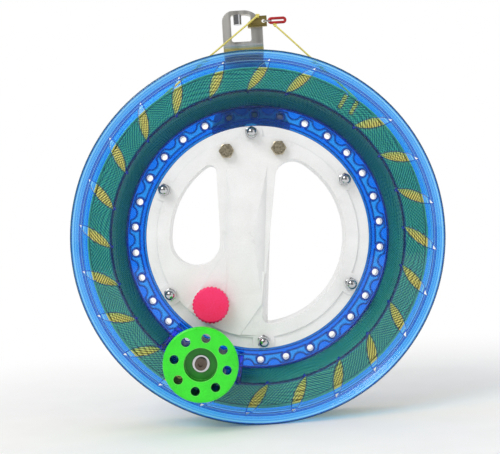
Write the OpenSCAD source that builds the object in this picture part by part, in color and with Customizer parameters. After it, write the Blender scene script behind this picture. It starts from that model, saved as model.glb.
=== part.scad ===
// Kite reel: a clear drum of line that runs on six small bearings round a hand-held hub.
// Every piece is drawn lying face up (x right, y up, z towards the user) and stood up at the end.

/* [Drum] */
// Radius of the rim
rim_r = 110; // [108:1:125]
// Width of the drum over both lips
drum_w = 46; // [42:1:52]
// Wall of the drum's mouldings
drum_wall = 2.4; // [2:0.1:2.8]
// Radial width of the flared lip
lip_w = 6; // [4:0.5:8]
// How far the lip rises above the flange
lip_rise = 2.5; // [1:0.5:4]
// Distance over the outer faces of the two webs
web_w = 11; // [10.5:0.5:13]
// Radial width of the web, from the rail outwards
web_run = 10; // [9.5:0.5:12]
// Radial run of the cone wall, from the web to the flange
cone_run = 7; // [5:0.5:9]
// Number of leaf slot places round a flange
slot_count = 24; // [18:1:28]
// Width of a leaf slot
slot_w = 5.5; // [4:0.5:7]
// Lean of a leaf slot from the radius
slot_lean = 35; // [20:1:40]
// Angle of the first leaf slot
slot_start = -3.7; // [-7:0.1:7]
// Place number of the leaf slot that gives way to two slits
slit_place = 4; // [0:1:17]
// Width of a slit that holds the line's end
slit_w = 2.2; // [1.5:0.1:3]
// Length of a slit
slit_l = 9.5; // [7:0.5:12]
// Distance between the two slits
slit_pitch = 7.5; // [6:0.5:9]
// Number of holes round the web
hole_count = 30; // [20:1:34]
// Diameter of a hole in the web
hole_d = 3.9; // [3:0.1:4.2]
// Wall of the tube round each hole
hole_wall = 0.85; // [0.6:0.05:1]
// Angle of the first hole
hole_start = 4; // [-6:0.1:6]

/* [Bearings] */
// Number of bearings
bearing_count = 6; // [5:1:8]
// Radius of the circle of bearings
bearing_circle_r = 62; // [60:0.5:64]
// Outer diameter of a bearing
bearing_od = 13; // [11:0.5:13.5]
// Bore of a bearing
bearing_id = 4; // [3:0.5:5]
// Width of a bearing
bearing_w = 5; // [4:0.5:5.5]
// Running gap between the bearings and the rail
rail_gap = 0.2; // [0.1:0.05:0.3]
// Height of the lips that keep the drum on its bearings
rail_lip = 2; // [1:0.1:2.2]

/* [Hub] */
// Thickness of the hub
hub_t = 25; // [22:1:28]
// Radial gap between the hub and the drum
hub_gap = 0.5; // [0.3:0.1:0.8]
// Height of the hub's raised face over its edge
face_step = 1; // [0.5:0.1:1.5]
// Width of the hub's lower edge
edge_w = 6.4; // [5:0.2:7]
// Radius of the hand openings
opening_r = 52.3; // [50:0.1:53]
// Distance of the left opening from the spin axis
left_edge = 22.2; // [20:0.2:24]
// Distance of the right opening from the spin axis
right_edge = 7.1; // [5:0.1:10]
// Lean of the right opening
right_lean = 8.7; // [4:0.1:12]
// Corner radius of the left opening
left_corner_r = 4; // [3:0.5:8]
// Upper corner radius of the right opening
right_top_r = 11; // [6:0.5:13]
// Lower corner radius of the right opening
right_corner_r = 5; // [4:0.5:10]
// Wall round the hand openings between the two halves
opening_wall = 2.4; // [1.6:0.2:2.6]
// Width of the grip
grip_w = 30; // [28:0.5:32]
// Depth of the grip
grip_t = 32; // [29:1:36]
// Corner radius of the grip's section
grip_corner_r = 11; // [8:0.5:13]
// Place of the grip's axis to the left of the spin axis
grip_x = 7.6; // [5:0.1:9]
// Lean of the grip
grip_lean = 5; // [0:0.5:8]
// Radius of the grip's long crown
grip_crown_r = 250; // [200:10:400]
// Width of the raised pad below the grip
pad_w = 35; // [30:1:38]
// Height of the raised pad
pad_h = 1.2; // [0.6:0.1:1.6]
// Sideways place of the raised pad
pad_offset = 7; // [4:0.5:9]
// Spread of the pad's sloped side
slope_spread = 25.5; // [15:0.5:28]

/* [Winding knob] */
// Diameter of the winding knob
knob_d = 43.5; // [38:0.5:46]
// Height of the winding knob
knob_h = 25; // [20:1:32]
// Distance of the winding knob from the spin axis
knob_r = 78.5; // [76:0.5:80]
// Angle of the winding knob
knob_angle = 242.3; // [235:0.1:250]
// Depth of the waist round the knob
knob_waist = 2.4; // [2:0.1:3]
// Taper of the knob towards the drum
knob_taper = 2.3; // [1:0.1:3]
// Diameter of the recess in the knob's face
recess_d = 19; // [16:0.5:20]
// Number of holes through the knob
knob_holes = 8; // [6:1:9]
// Diameter of the holes through the knob
knob_hole_d = 5.2; // [4:0.1:6]
// Radius of the circle of holes in the knob
knob_hole_r = 15.2; // [14:0.1:16]
// Diameter of the sleeve that the knob turns on
sleeve_d = 8; // [7:0.5:10]
// Half angle of the boss that carries the knob
boss_half_angle = 17.5; // [14:0.5:20]

/* [Brake] */
// Diameter of the brake knob
brake_d = 21.6; // [18:0.2:24]
// Height of the brake knob
brake_h = 8; // [6:0.5:9]
// Number of grips round the brake knob
brake_flutes = 28; // [20:1:32]
// Distance of the brake knob from the spin axis
brake_r = 48.6; // [47:0.1:50]
// Angle of the brake knob
brake_angle = 232; // [228:0.5:236]
// Diameter of the brake spindle
spindle_d = 6; // [5:0.5:7]
// Throw of the eccentric
eccentric = 0.85; // [0.6:0.05:1]
// Diameter of the eccentric
cam_d = 11; // [10:0.5:12]
// Width of the brake shoe
shoe_w = 20; // [18:0.5:22]
// Thickness of the brake shoe
shoe_t = 4.8; // [4:0.1:5]
// Thickness of the brake pad
pad_t = 1.6; // [1:0.1:2]
// Gap between the pad and the rail with the brake off
pad_gap = 1.4; // [1.3:0.1:2]

/* [Guide] */
// Thickness of the guide's sheet steel
sheet_t = 2; // [1.5:0.1:2.5]
// Width of the guide's head
head_w = 24.5; // [22:0.5:28]
// Place of the guide's head to the left of the middle
head_x = 1.6; // [0:0.1:2]
// Height of the guide's head above the rim
head_h = 28.3; // [26:0.5:32]
// Width of the guide's window
window_w = 12; // [9:0.1:12.5]
// Height of the guide's window
window_h = 16.5; // [14:0.5:17]
// Place of the window to the left of the middle
window_x = 2.5; // [1:0.1:3]
// Width of the guide's foot
foot_w = 48; // [46:1:54]
// Distance between the two bolts that hold the guide
guide_bolt_pitch = 31; // [29:0.5:33]
// Height of the guide's bolts above the spin axis
guide_bolt_y = 52; // [51:0.5:54]
// Gap between the guide and the drum
guide_gap = 3; // [2:0.5:5]

/* [Line] */
// Diameter of the line
line_d = 1.1; // [0.8:0.1:1.2]
// Depth of the top of the winding below the rim
pack_depth = 9.5; // [8:0.5:14]
// Gap between the turns of the outer layer
line_gap = 0.45; // [0.42:0.01:0.6]

/* [Hidden] */
$fn = 64;
round_fn = 180;

// Fits and small allowances
fit = 0.1;
slack = 0.3;
over = 1;
// Half of the gap between the two halves of the drum
seam = 0.05;

// Drum
half_w = drum_w / 2;
rail_r = bearing_circle_r + bearing_od / 2 + rail_gap;
side_play = 0.25;
rail_half = bearing_w / 2 + side_play;
lip_in_r = rail_r - rail_lip;
web_out = web_w / 2;
web_in = web_out - drum_wall;
web_r = rail_r + web_run;
cone_r = web_r + cone_run;
flange_out = half_w - lip_rise;
flange_in = flange_out - drum_wall;
lip_r = rim_r - lip_w;
bead = 1;
cone_rise = flange_out - web_out;
cone_len = norm([cone_run, cone_rise]);
// Radius of the inner side of the cone wall at a height
function cone_in_r(z) =
    web_r + drum_wall * cone_rise / cone_len
    + (z - web_out + drum_wall * cone_run / cone_len) * cone_run / cone_rise;
barrel_r = web_r + drum_wall / 3;
barrel_z = web_out - drum_wall * cone_run / cone_len
    - (web_r + drum_wall * cone_rise / cone_len - barrel_r) * cone_rise / cone_run;
hole_circle_r = rail_r + web_run / 2;
scallop_r = 4.2;
slot_in_r = cone_r + slack;
slot_out_r = lip_r + bead;
slot_mid_r = (slot_in_r + slot_out_r) / 2;
slot_l = (slot_out_r - slot_in_r) / cos(slot_lean);
slot_arc_r = (slot_l * slot_l + slot_w * slot_w) / (4 * slot_w);
slit_lag = 4;
slit_angle = slot_start + slit_place * 360 / slot_count;

// Hub
hub_r = lip_in_r - hub_gap;
hub_half = hub_t / 2;
seat_h = 0.7;
plate_in = bearing_w / 2 + seat_h;
bolt_d = bearing_id - 2 * fit;
inner_ring_wall = 1.25;
inner_ring_d = bearing_id + 2 * inner_ring_wall;
outer_ring_wall = 1;
shield_t = 0.5;
raised_r = hub_r - edge_w;
nut_pad_r = 6.5;
slope_start = 28.8;
end_r = (opening_r - left_edge) / 2;
head_r = 3.8;
head_t = 2.6;
nut_af = 7;
nut_base_h = 3.2;
dome_r = 3.2;
dome_h = 4.6;
function bearing_angle(i) = 90 + i * 360 / bearing_count;

// Brake
brake_z = hub_half + pad_h;
cam_angle = brake_angle + 135;
shoe_end_r = rail_r - pad_gap - pad_t;
shoe_wall = 6;
shoe_in_r = brake_r - cam_d / 2 - shoe_wall;
slide_l = (shoe_end_r - shoe_in_r) / 2;
rib_w = 2.5;
flute_r = 0.75;
brake_top_t = 1.5;
spindle_tail = 4;
spindle_foot = -plate_in - spindle_tail;

// Winding knob
insert_d = 7.5;
insert_l = 10;
post_wall = 3;
boss_rise = 1;
// Height of the inner side of the drum's wall at a radius
function groove_z(r) =
    r < barrel_r ? 0 : min(flange_in, barrel_z + (r - barrel_r) * cone_rise / cone_run);
// The boss rises over the flange, and as far as its insert needs over the wall below it
boss_z = max(flange_out + boss_rise, groove_z(knob_r + insert_d / 2 + fit) + drum_wall + insert_l);
knob_lift = lip_rise + fit;
knob_z = boss_z + knob_lift;
knob_top = knob_z + knob_h;
recess_depth = 7.5;
recess_z = knob_top - recess_depth;
washer_t = 1;
washer_edge = 0.9;
washer_d = sleeve_d + 2 * washer_edge;
knob_screw_d = 4;
knob_screw_head_d = 7;
knob_screw_head_h = 4;
knob_key_af = 3;
boss_in_r = rail_r + 1.2;
knob_at = [knob_r * cos(knob_angle), knob_r * sin(knob_angle)];
knob_hole_start = 75.2;

// Guide
guide_bolt_d = 5;
guide_nut_af = 8;
guide_nut_h = 4;
guide_head_r = 4.5;
guide_head_t = 2.8;
sheet_half = sheet_t / 2;
bend_r = 4;
foot_margin = 4.5;
foot_corner = 4;
foot_y = guide_bolt_y - foot_margin;
foot_z = -hub_half - sheet_half;
arm_z = -half_w - guide_gap - sheet_half;
shelf_y = rim_r + guide_gap + sheet_half;
head_z = -5;
head_top = rim_r + head_h;
top_band = 2.6;
head_left_r = 6.5;
head_right_r = 11.5;
head_rim = 5;
window_corner_r = 1.5;
window_y = head_top - top_band - window_h / 2;
post_inset = 1.6;
joggle_lead = 2;
joggle_run = 13;
joggle_start = hub_r + joggle_lead;
joggle_end = joggle_start + joggle_run;
post_d = 5;
post_l = 6;

// Clip on the end of the line
hook_drop = 7.5;
hook_y = head_top - hook_drop;
hook_h = 6.5;
hook_t = 1.6;
hook_x = window_w / 2 - window_x - slack - hook_t / 2;
hook_front = head_z + sheet_half + slack + hook_t / 2;
hook_back = head_z - sheet_half - slack - hook_t / 2;
hook_l = 11;
hook_back_l = 4.8;
hook_back_top = -0.5;
hook_nose = 2.4;
hook_slant = 5.2;
hook_slant_end = hook_x + hook_slant;
hook_end = hook_x + hook_l;
eye_d = 2.2;
eye_edge = 1;
eye_x = hook_end - eye_edge - eye_d / 2;
ring_r = 2.4;
ring_wire = 0.8;
ring_tilt = 15;
loop_wire = 1.7;
loop_bend_r = 1.3;
loop_l = 7.2;

// Line
pack_r = rim_r - pack_depth;
line_r = line_d / 2;
turn_r = pack_r - line_r;
turn_rings = 24;
line_pitch = line_d + line_gap;
line_turns_count = floor((2 * (flange_in - slack) - line_d) / line_pitch);
tube_sides = 6;
free_sides = 8;
core_r = turn_r * cos(180 / turn_rings) - line_r - slack;
core_half = flange_in - slack;
// Points of the free line, left and right of the guide, chosen by hand
left_route = [
    [8, 134, -1.2], [4, 130.9, -0.9], [0, 127.8, -0.6], [-5, 124, -0.2], [-10, 120.1, 0.2],
    [-15, 116.3, 0.6], [-20, 112.5, 1], [-25, 108.7, 1.3], [-30, 104.8, 1.6], [-35, 101, 1.9],
    [-40, 97.2, 2.2], [-45, 93.4, 2.4], [-50, 89.5, 2.6], [-55, 85.7, 2.8], [-60, 81.8, 3],
    [-65, 77.9, 3.1], [-70, 73.6, 3.2], [-74.5, 69, 3.3], [-78.8, 64.1, 3.4]
];
right_route = [
    [18.2, 128.2, -2.9], [18.9, 127.2, -2.8], [20.6, 125.4, -2.6], [24, 121.9, -2.2], [28, 117.8, -1.8],
    [32, 113.6, -1.4], [36, 109.4, -1], [40, 105.2, -0.6], [44, 101, -0.2], [48, 96.8, 0.2],
    [52, 92.6, 0.6], [56, 88.4, 1], [60, 84.2, 1.4], [64, 80, 1.8], [68, 75.8, 2.2],
    [72, 71.6, 2.6], [76, 67.3, 3], [79.7, 62.9, 3.4], [83.1, 58.3, 3.8]
];

// Stands a piece up: its face looks along -Y and its top points along +Z
module upright() {
    rotate([90, 0, 0])
        children();
}

// Copies a shape round the spin axis
module round_copies(count, start) {
    for (i = [0 : count - 1])
        rotate(start + i * 360 / count)
            children();
}

// A ring or tube along z
module tube(r, bore_r, h) {
    difference() {
        cylinder(r = r, h = h);
        translate([0, 0, -over])
            cylinder(r = bore_r, h = h + 2 * over);
    }
}

// A hexagon of a width across its flats
module hexagon(across) {
    circle(d = across / cos(30), $fn = 6);
}

// A nut blank: a hexagonal block with its corners turned off at both ends
module nut_blank(across, h) {
    face_r = across / 2 - fit;
    corner_r = across / 2 / cos(30) + fit;
    rise = (corner_r - face_r) * tan(30);
    intersection() {
        linear_extrude(h)
            hexagon(across);
        rotate_extrude()
            polygon([[0, 0], [face_r, 0], [corner_r, rise], [corner_r, h - rise], [face_r, h], [0, h]]);
    }
}

// A rectangle with round corners
module round_rect(w, h, r) {
    square([w - 2 * r, h], center = true);
    square([w, h - 2 * r], center = true);
    for (x = [-1, 1], y = [-1, 1])
        translate([x * (w / 2 - r), y * (h / 2 - r)])
            circle(r);
}

// Outline of a bent sheet: a path with round bends, widened to both sides
function unit(v) = v / norm(v);
function left(v) = [-v.y, v.x];
function bend(p, a, b, r, side) =
    let (turn = atan2(a.x * b.y - a.y * b.x, a * b), s = sign(turn))
    let (c = p - a * r * tan(abs(turn) / 2) + s * r * left(a))
    [for (k = [0 : 6])
        let (v = -s * left(a), t = turn * k / 6)
        c + [v.x * cos(t) - v.y * sin(t), v.x * sin(t) + v.y * cos(t)] * (r - s * side)];
function side_of(path, r, side) =
    let (last = len(path) - 1)
    let (first_dir = unit(path[1] - path[0]), last_dir = unit(path[last] - path[last - 1]))
    concat(
        [path[0] + left(first_dir) * side],
        [for (i = [1 : last - 1])
            each bend(path[i], unit(path[i] - path[i - 1]), unit(path[i + 1] - path[i]), r, side)],
        [path[last] + left(last_dir) * side]);
function reversed(list) = [for (i = [len(list) - 1 : -1 : 0]) list[i]];
module bent_sheet(path, t, r) {
    polygon(concat(side_of(path, r, t / 2), reversed(side_of(path, r, -t / 2))));
}

// A tube of triangles along a list of points
function cross_product(a, b) = [a.y * b.z - a.z * b.y, a.z * b.x - a.x * b.z, a.x * b.y - a.y * b.x];
function along(path, i) =
    unit(path[min(i + 1, len(path) - 1)] - path[max(i - 1, 0)]);
function ring_at(p, d, up, r, sides) =
    let (u = unit(cross_product(d, up)), v = cross_product(u, d))
    [for (k = [0 : sides - 1]) p + r * (cos(k * 360 / sides) * u + sin(k * 360 / sides) * v)];
module swept_tube(rings, sides) {
    last = len(rings) - 1;
    points = [for (ring = rings) each ring];
    first_mid = [for (k = [1 : sides - 2]) [0, k, k + 1]];
    last_mid = [for (k = [1 : sides - 2]) [last * sides, last * sides + k + 1, last * sides + k]];
    sides_a = [for (i = [0 : last - 1], k = [0 : sides - 1])
        [i * sides + k, (i + 1) * sides + k, i * sides + (k + 1) % sides]];
    sides_b = [for (i = [0 : last - 1], k = [0 : sides - 1])
        [i * sides + (k + 1) % sides, (i + 1) * sides + k, (i + 1) * sides + (k + 1) % sides]];
    polyhedron(points, concat(first_mid, last_mid, sides_a, sides_b));
}

// Half of the drum: rail, web, cone, flange and lip in one revolved wall
module drum_profile() {
    polygon([
        [rail_r, seam], [rail_r, rail_half], [lip_in_r, rail_half], [lip_in_r, web_out],
        [web_r, web_out], [cone_r, flange_out], [lip_r, flange_out],
        [rim_r - bead, half_w], [rim_r, half_w - bead / 2], [rim_r, half_w - drum_wall],
        [lip_r + bead, flange_in], [cone_in_r(flange_in), flange_in],
        [barrel_r, barrel_z], [barrel_r, seam], [barrel_r - drum_wall, seam], [barrel_r - drum_wall, web_in],
        [rail_r + drum_wall, web_in], [rail_r + drum_wall, seam]
    ]);
}

// A leaf slot: where two circles overlap, leaning from the radius
module leaf_2d() {
    rotate(-slot_lean)
        intersection_for (side = [-1, 1])
            translate([0, side * (slot_arc_r - slot_w / 2)])
                circle(slot_arc_r, $fn = 128);
}

module slits_2d() {
    rotate(slit_angle - slit_lag)
        translate([slot_mid_r - over, 0])
            rotate(slit_lag)
                for (side = [-1, 1])
                    translate([0, side * slit_pitch / 2])
                        round_rect(slit_l, slit_w, slit_w / 2 - fit);
}

module flange_cuts() {
    translate([0, 0, web_out])
        linear_extrude(half_w) {
            for (i = [0 : slot_count - 1])
                if (i != slit_place)
                    rotate(slot_start + i * 360 / slot_count)
                        translate([slot_mid_r, 0])
                            leaf_2d();
            slits_2d();
        }
}

module drum_half() {
    difference() {
        union() {
            rotate_extrude($fn = round_fn)
                drum_profile();
            round_copies(hole_count, hole_start)
                translate([hole_circle_r, 0, seam])
                    cylinder(d = hole_d + 2 * hole_wall, h = web_in + fit - seam);
            intersection() {
                round_copies(hole_count, hole_start + 180 / hole_count)
                    translate([barrel_r - drum_wall / 2, 0, seam])
                        cylinder(r = scallop_r, h = web_in + fit - seam);
                tube(barrel_r - drum_wall / 2, rail_r + drum_wall + fit, web_out - fit);
            }
        }
        round_copies(hole_count, hole_start)
            translate([hole_circle_r, 0, -over])
                cylinder(d = hole_d, h = web_out + 2 * over);
        flange_cuts();
    }
}

// Sector of a ring, from one radius to another
module sector_2d(r0, r1, half_angle) {
    intersection() {
        difference() {
            circle(r1, $fn = round_fn);
            circle(r0, $fn = round_fn);
        }
        polygon([[0, 0], 2 * r1 * [cos(half_angle), -sin(half_angle)],
            2 * r1 * [cos(half_angle), sin(half_angle)]]);
    }
}

// Boss that carries the winding knob over the front web: open walls, a rib and a post
module knob_boss() {
    wall_angle = drum_wall / web_r * 180 / PI;
    side_angle = boss_half_angle - wall_angle / 2;
    sink = drum_wall / 2;
    rib_l = 2 * knob_r * tan(side_angle);
    post_out_r = knob_r + insert_d / 2 + post_wall;
    boss_out_r = max(cone_r + sink, post_out_r);
    rotate(knob_angle)
        intersection() {
            rotate_extrude($fn = round_fn)
                polygon(concat(
                    [[boss_in_r, web_out - sink], [web_r + sink, web_out - sink],
                        [cone_r + sink, flange_out - sink]],
                    boss_out_r > cone_r + sink ? [[boss_out_r, flange_out - sink]] : [],
                    [[boss_out_r, boss_z], [boss_in_r, boss_z]]));
            union() {
                linear_extrude(boss_z + over)
                    sector_2d(rail_r, boss_in_r + drum_wall, boss_half_angle);
                for (side = [-1, 1])
                    rotate(side * side_angle)
                        translate([boss_in_r, -drum_wall / 2, 0])
                            cube([rim_r - boss_in_r, drum_wall, boss_z + over]);
                translate([knob_r, 0, 0]) {
                    cylinder(d = insert_d + 2 * post_wall, h = boss_z + over);
                    translate([-drum_wall / 2, -rib_l / 2, 0])
                        cube([drum_wall, rib_l, boss_z - over]);
                }
            }
        }
}

module drum_front() {
    color("#3f8fb8")
        upright()
            difference() {
                union() {
                    drum_half();
                    knob_boss();
                }
                at_knob(boss_z - insert_l)
                    cylinder(d = insert_d + 2 * fit, h = insert_l + over);
            }
}

module drum_rear() {
    color("#3f8fb8")
        upright()
            mirror([0, 0, 1])
                drum_half();
}

// Inner layers of line, as one ring between the drum's walls
module line_core() {
    floor_r = barrel_r + slack;
    floor_z = core_half - (cone_in_r(flange_in) + slack - floor_r) * cone_rise / cone_run;
    color("#d8d05a")
        upright()
            rotate_extrude($fn = round_fn)
                polygon([
                    [floor_r, floor_z], [cone_in_r(flange_in) + slack, core_half], [core_r, core_half],
                    [core_r, -core_half], [cone_in_r(flange_in) + slack, -core_half], [floor_r, -floor_z]
                ]);
}

// Outer layer of line: one unbroken helix whose ends go straight down to the core
function turn_point(i) =
    let (a = i * 360 / turn_rings)
    [turn_r * cos(a), turn_r * sin(a), (i / turn_rings - line_turns_count / 2) * line_pitch];
function down_ring(i, ahead) =
    let (p = turn_point(i), d = unit([p.x, p.y, 0]), t = ahead * [-d.y, d.x, 0])
    let (foot = d * (core_r + fit) + [0, 0, p.z] + t * line_d)
    ring_at(foot, -ahead * d, [0, 0, 1], line_r, tube_sides);
turn_total = line_turns_count * turn_rings;
turn_path = [for (i = [0 : turn_total]) turn_point(i)];
turn_steps = [for (i = [0 : turn_total - turn_rings]) norm(turn_path[i + turn_rings] - turn_path[i])];
turn_gap = min(turn_steps) - line_d;

module line_turns() {
    echo(least_gap_between_turns = turn_gap);
    color("#e6de6a")
        upright()
            swept_tube(concat(
                [down_ring(0, -1)],
                [for (i = [0 : turn_total])
                    ring_at(turn_path[i], along(turn_path, i), [0, 0, 1], line_r, tube_sides)],
                [down_ring(turn_total, 1)]), tube_sides);
}

// Winding knob and the parts that carry it
module at_knob(z) {
    translate([knob_at.x, knob_at.y, z])
        children();
}

module knob_sleeve() {
    color("silver")
        upright()
            at_knob(boss_z)
                tube(sleeve_d / 2, knob_screw_d / 2 + fit, recess_z + slack - boss_z);
}

module knob_washer() {
    color("silver")
        upright()
            at_knob(recess_z + slack)
                tube(washer_d / 2, knob_screw_d / 2 + fit, washer_t);
}

module knob_screw() {
    head_at = recess_z + slack + washer_t;
    foot_at = boss_z - insert_l + over;
    color("#6d6258")
        upright()
            at_knob(0)
                difference() {
                    union() {
                        translate([0, 0, foot_at])
                            cylinder(d = knob_screw_d, h = head_at - foot_at);
                        translate([0, 0, head_at])
                            cylinder(d = knob_screw_head_d, h = knob_screw_head_h);
                    }
                    translate([0, 0, head_at + knob_screw_head_h / 2])
                        linear_extrude(knob_screw_head_h)
                            hexagon(knob_key_af);
                }
}

module knob_insert() {
    color("goldenrod")
        upright()
            at_knob(boss_z - insert_l)
                tube(insert_d / 2, knob_screw_d / 2 + fit, insert_l);
}

module winding_knob() {
    r = knob_d / 2;
    round = 2;
    waist_r = (knob_h * knob_h / 4 + knob_waist * knob_waist) / (2 * knob_waist);
    color("#54b948")
        upright()
            at_knob(knob_z)
                difference() {
                    cylinder(r1 = r - knob_taper, r2 = r, h = knob_h);
                    rotate_extrude($fn = 96)
                        translate([r - knob_waist + waist_r, knob_h / 2])
                            circle(waist_r, $fn = round_fn);
                    for (end = [0, 1])
                        translate([0, 0, end * knob_h])
                            mirror([0, 0, end])
                                rotate_extrude($fn = 96)
                                    translate([r - round - (1 - end) * knob_taper, 0])
                                        difference() {
                                            translate([0, -over])
                                                square([round + over, round + over]);
                                            translate([0, round])
                                                circle(round);
                                        }
                    translate([0, 0, recess_z - knob_z])
                        cylinder(d = recess_d, h = knob_h);
                    translate([0, 0, -over])
                        cylinder(d = sleeve_d + 2 * fit, h = knob_h);
                    round_copies(knob_holes, knob_hole_start)
                        translate([knob_hole_r, 0, -over])
                            cylinder(d = knob_hole_d, h = knob_h + 2 * over);
                }
}

// Segment of a circle, right of a line, with a round upper and lower corner
module segment_2d(r, edge, corners) {
    difference() {
        intersection() {
            circle(r, $fn = round_fn);
            translate([edge, -r])
                square([r, 2 * r]);
        }
        for (side = [0, 1]) {
            corner = corners[side];
            corner_at = [edge + corner, sqrt(pow(r - corner, 2) - pow(edge + corner, 2))];
            mirror([0, side])
                difference() {
                    polygon([corner_at, unit(corner_at) * (r + corner), [edge - over, r + corner],
                        [edge - over, corner_at.y]]);
                    translate(corner_at)
                        circle(corner);
                }
        }
    }
}

// The two hand openings, grown by a wall
module openings_2d(grow) {
    rotate(-right_lean)
        segment_2d(opening_r + grow, right_edge - grow, [right_top_r + grow, right_corner_r + grow]);
    mirror([1, 0]) {
        intersection() {
            segment_2d(opening_r + grow, left_edge - grow, [left_corner_r + grow, left_corner_r + grow]);
            square(opening_r + grow);
        }
        translate([left_edge + end_r, 0])
            circle(end_r + grow);
    }
}

// Half of the grip: a round-cornered bar with a long crown
module grip_half() {
    translate([-grip_x, 0, 0])
        intersection() {
            rotate(-grip_lean)
                rotate([90, 0, 0])
                    linear_extrude(2 * opening_r, center = true)
                        intersection() {
                            round_rect(grip_w, grip_t, grip_corner_r);
                            translate([-grip_w, 0])
                                square([2 * grip_w, grip_t]);
                        }
            translate([-grip_w - opening_r, 0, grip_t / 2 - grip_crown_r])
                rotate([0, 90, 0])
                    cylinder(r = grip_crown_r, h = 2 * (grip_w + opening_r), $fn = round_fn);
            translate([grip_x, 0, -over])
                cylinder(r = opening_r + opening_wall, h = grip_t, $fn = round_fn);
        }
}

// Places on the hub
module at_bearings(z) {
    for (i = [0 : bearing_count - 1])
        rotate(bearing_angle(i))
            translate([bearing_circle_r, 0, z])
                children();
}

module at_guide_bolts(z) {
    for (side = [-1, 1])
        translate([side * guide_bolt_pitch / 2, guide_bolt_y, z])
            children();
}

module at_brake(z) {
    rotate(brake_angle)
        translate([brake_r, 0, z])
            children();
}

// Half of the hub: plate, raised face, grip, walls, bosses and the slideway of the brake shoe
module hub_half_body() {
    difference() {
        union() {
            difference() {
                union() {
                    translate([0, 0, plate_in])
                        cylinder(r = hub_r, h = hub_half - face_step - plate_in, $fn = round_fn);
                    translate([0, 0, plate_in])
                        linear_extrude(hub_half - plate_in)
                            intersection() {
                                union() {
                                    circle(raised_r, $fn = round_fn);
                                    for (i = [0 : bearing_count - 1])
                                        rotate(bearing_angle(i))
                                            translate([bearing_circle_r, 0])
                                                circle(nut_pad_r);
                                }
                                circle(hub_r - fit, $fn = round_fn);
                            }
                    linear_extrude(plate_in + fit)
                        openings_2d(opening_wall);
                }
                translate([0, 0, -over])
                    linear_extrude(hub_t)
                        openings_2d(0);
            }
            grip_half();
            at_bearings(bearing_w / 2)
                cylinder(d = inner_ring_d, h = plate_in - bearing_w / 2 + fit);
            at_guide_bolts(0)
                cylinder(d = guide_bolt_d + 4, h = plate_in + fit);
            rotate(brake_angle)
                for (side = [-1, 1])
                    translate([shoe_in_r, side * (shoe_w / 2 + slack + rib_w / 2) - rib_w / 2, 0])
                        cube([slide_l, rib_w, plate_in + fit]);
            rotate(brake_angle)
                translate([shoe_in_r, -shoe_w / 2 - slack, shoe_t / 2 + slack])
                    cube([slide_l, shoe_w + 2 * slack, plate_in - shoe_t / 2 - slack + fit]);
        }
        rotate(brake_angle)
            translate([shoe_in_r - slack, -shoe_w / 2 - slack, -over])
                cube([rail_r, shoe_w + 2 * slack, shoe_t / 2 + slack + over]);
        at_bearings(0)
            cylinder(d = bolt_d + 2 * fit, h = hub_t);
        at_guide_bolts(-over)
            cylinder(d = guide_bolt_d + 2 * fit, h = hub_t);
    }
}

// Raised pad that runs from the grip to the hub's edge, under the brake knob
module brake_pad_2d() {
    difference() {
        intersection() {
            circle(raised_r - over / 2, $fn = round_fn);
            rotate(brake_angle)
                translate([grip_w / 2, pad_offset - pad_w / 2])
                    square([hub_r, pad_w]);
        }
        openings_2d(over);
    }
}

// Sloped side of the pad: from nothing beside the grip to the pad's height at the hub's edge
function run_to_circle(p, d, r) = sqrt((p * d) * (p * d) - p * p + r * r) - p * d;
module pad_slope() {
    start = [slope_start, pad_offset + pad_w / 2 - fit];
    edge_r = raised_r - over;
    spread = [cos(slope_spread), sin(slope_spread)];
    high = start + run_to_circle(start, [1, 0], edge_r) * [1, 0];
    low = start + run_to_circle(start, spread, edge_r) * spread;
    foot = hub_half - over;
    face = hub_half - fit;
    rotate(brake_angle)
        polyhedron([
            [start.x, start.y, foot], [high.x, high.y, foot], [low.x, low.y, foot],
            [start.x, start.y, face], [high.x, high.y, brake_z - fit], [low.x, low.y, face]
        ], [[0, 1, 2], [3, 5, 4], [0, 3, 4, 1], [1, 4, 5, 2], [2, 5, 3, 0]]);
}

module hub_front() {
    color("whitesmoke")
        upright()
            difference() {
                union() {
                    hub_half_body();
                    pad_slope();
                    translate([0, 0, hub_half - over])
                        linear_extrude(pad_h + over)
                            brake_pad_2d();
                }
                at_brake(0)
                    cylinder(d = spindle_d + 2 * fit, h = hub_t);
            }
}

module hub_rear() {
    color("whitesmoke")
        upright()
            mirror([0, 0, 1])
                difference() {
                    hub_half_body();
                    at_brake(0)
                        cylinder(d = spindle_d + 2 * fit, h = hub_half - drum_wall);
                }
}

module hub_bolts() {
    color("silver")
        upright()
            at_bearings(-hub_half) {
                translate([0, 0, -head_t])
                    difference() {
                        cylinder(r = head_r, h = head_t);
                        translate([0, 0, -over])
                            linear_extrude(over + head_t / 2)
                                hexagon(2.5);
                    }
                cylinder(d = bolt_d, h = hub_t + nut_base_h);
            }
}

module dome_nuts() {
    color("silver")
        upright()
            at_bearings(hub_half)
                difference() {
                    union() {
                        nut_blank(nut_af, nut_base_h);
                        translate([0, 0, nut_base_h])
                            rotate_extrude()
                                intersection() {
                                    square([dome_r, dome_h]);
                                    translate([0, dome_h - dome_r])
                                        union() {
                                            circle(dome_r);
                                            translate([0, -dome_h])
                                                square([dome_r, dome_h]);
                                        }
                                }
                    }
                    translate([0, 0, -over])
                        cylinder(d = bolt_d + 2 * fit, h = nut_base_h + 2 * over);
                }
}

module bearing_inner_rings() {
    color("silver")
        upright()
            at_bearings(-bearing_w / 2)
                tube(inner_ring_d / 2, bearing_id / 2, bearing_w);
}

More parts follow.
